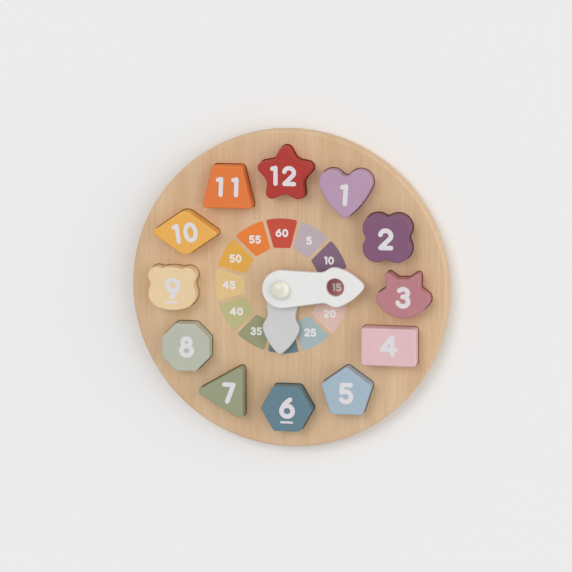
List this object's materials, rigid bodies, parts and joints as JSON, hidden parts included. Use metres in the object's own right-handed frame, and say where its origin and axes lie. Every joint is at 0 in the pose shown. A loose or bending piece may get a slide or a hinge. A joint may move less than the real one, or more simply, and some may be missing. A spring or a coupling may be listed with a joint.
{
  "type": "shape sorting clock",
  "caption": "Round wooden toy clock lying on its back: shaped, painted number blocks lift out of matching sockets, and two wooden hands turn on a pivot.",
  "frame": {"origin": "centre of the board's flat back, where it lies on a table", "axes": "+Z out of the clock's face, +Y towards twelve o'clock, +X towards three o'clock"},
  "size_m": [0.254, 0.254, 0.0346],
  "materials": {
    "bare_wood": "sanded, thin matte lacquer",
    "paint_lilac": "water-based paint, satin",
    "paint_plum": "water-based paint, satin",
    "paint_rose": "water-based paint, satin",
    "paint_pale_pink": "water-based paint, satin",
    "paint_pale_blue": "water-based paint, satin",
    "paint_slate_blue": "water-based paint, satin",
    "paint_olive_green": "water-based paint, satin",
    "paint_sage": "water-based paint, satin",
    "paint_cream": "water-based paint, satin",
    "paint_amber": "water-based paint, satin",
    "paint_orange": "water-based paint, satin",
    "paint_red": "water-based paint, satin",
    "paint_white": "water-based paint, satin",
    "paint_grey": "water-based paint, satin",
    "ivory_nylon": "moulded, slightly see-through",
    "zinc_steel": "bright zinc plating"
  },
  "bodies": {
    "board": {"face_board": "bare_wood", "back_board": "bare_wood", "pivot_bolt": "zinc_steel", "lower_washer": "ivory_nylon", "middle_washer": "ivory_nylon", "upper_washer": "ivory_nylon", "pivot_cap": "ivory_nylon"},
    "hour_hand": {"hour_hand": "paint_grey"},
    "minute_hand": {"minute_hand": "paint_white"},
    "block_01_heart": {"block_01_heart": "paint_lilac"},
    "block_02_flower": {"block_02_flower": "paint_plum"},
    "block_03_cat": {"block_03_cat": "paint_rose"},
    "block_04_rectangle": {"block_04_rectangle": "paint_pale_pink"},
    "block_05_pentagon": {"block_05_pentagon": "paint_pale_blue"},
    "block_06_hexagon": {"block_06_hexagon": "paint_slate_blue"},
    "block_07_triangle": {"block_07_triangle": "paint_olive_green"},
    "block_08_octagon": {"block_08_octagon": "paint_sage"},
    "block_09_bear": {"block_09_bear": "paint_cream"},
    "block_10_rhombus": {"block_10_rhombus": "paint_amber"},
    "block_11_trapezoid": {"block_11_trapezoid": "paint_orange"},
    "block_12_star": {"block_12_star": "paint_red"}
  },
  "joints": [
    {"name": "hour_hand_turn", "type": "hinge", "parent": "board", "child": "hour_hand", "pos_m": [-0.0038, 0.0021, 0.0189], "axis": [0, 0, -1], "continuous": true},
    {"name": "minute_hand_turn", "type": "hinge", "parent": "board", "child": "minute_hand", "pos_m": [-0.0038, 0.0021, 0.0253], "axis": [0, 0, -1], "continuous": true},
    {"name": "block_01_heart_lift", "type": "slide", "parent": "board", "child": "block_01_heart", "axis": [0, 0, 1], "range_m": [0, 0.04]},
    {"name": "block_02_flower_lift", "type": "slide", "parent": "board", "child": "block_02_flower", "axis": [0, 0, 1], "range_m": [0, 0.04]},
    {"name": "block_03_cat_lift", "type": "slide", "parent": "board", "child": "block_03_cat", "axis": [0, 0, 1], "range_m": [0, 0.04]},
    {"name": "block_04_rectangle_lift", "type": "slide", "parent": "board", "child": "block_04_rectangle", "axis": [0, 0, 1], "range_m": [0, 0.04]},
    {"name": "block_05_pentagon_lift", "type": "slide", "parent": "board", "child": "block_05_pentagon", "axis": [0, 0, 1], "range_m": [0, 0.04]},
    {"name": "block_06_hexagon_lift", "type": "slide", "parent": "board", "child": "block_06_hexagon", "axis": [0, 0, 1], "range_m": [0, 0.04]},
    {"name": "block_07_triangle_lift", "type": "slide", "parent": "board", "child": "block_07_triangle", "axis": [0, 0, 1], "range_m": [0, 0.04]},
    {"name": "block_08_octagon_lift", "type": "slide", "parent": "board", "child": "block_08_octagon", "axis": [0, 0, 1], "range_m": [0, 0.04]},
    {"name": "block_09_bear_lift", "type": "slide", "parent": "board", "child": "block_09_bear", "axis": [0, 0, 1], "range_m": [0, 0.04]},
    {"name": "block_10_rhombus_lift", "type": "slide", "parent": "board", "child": "block_10_rhombus", "axis": [0, 0, 1], "range_m": [0, 0.04]},
    {"name": "block_11_trapezoid_lift", "type": "slide", "parent": "board", "child": "block_11_trapezoid", "axis": [0, 0, 1], "range_m": [0, 0.04]},
    {"name": "block_12_star_lift", "type": "slide", "parent": "board", "child": "block_12_star", "axis": [0, 0, 1], "range_m": [0, 0.04]}
  ]
}
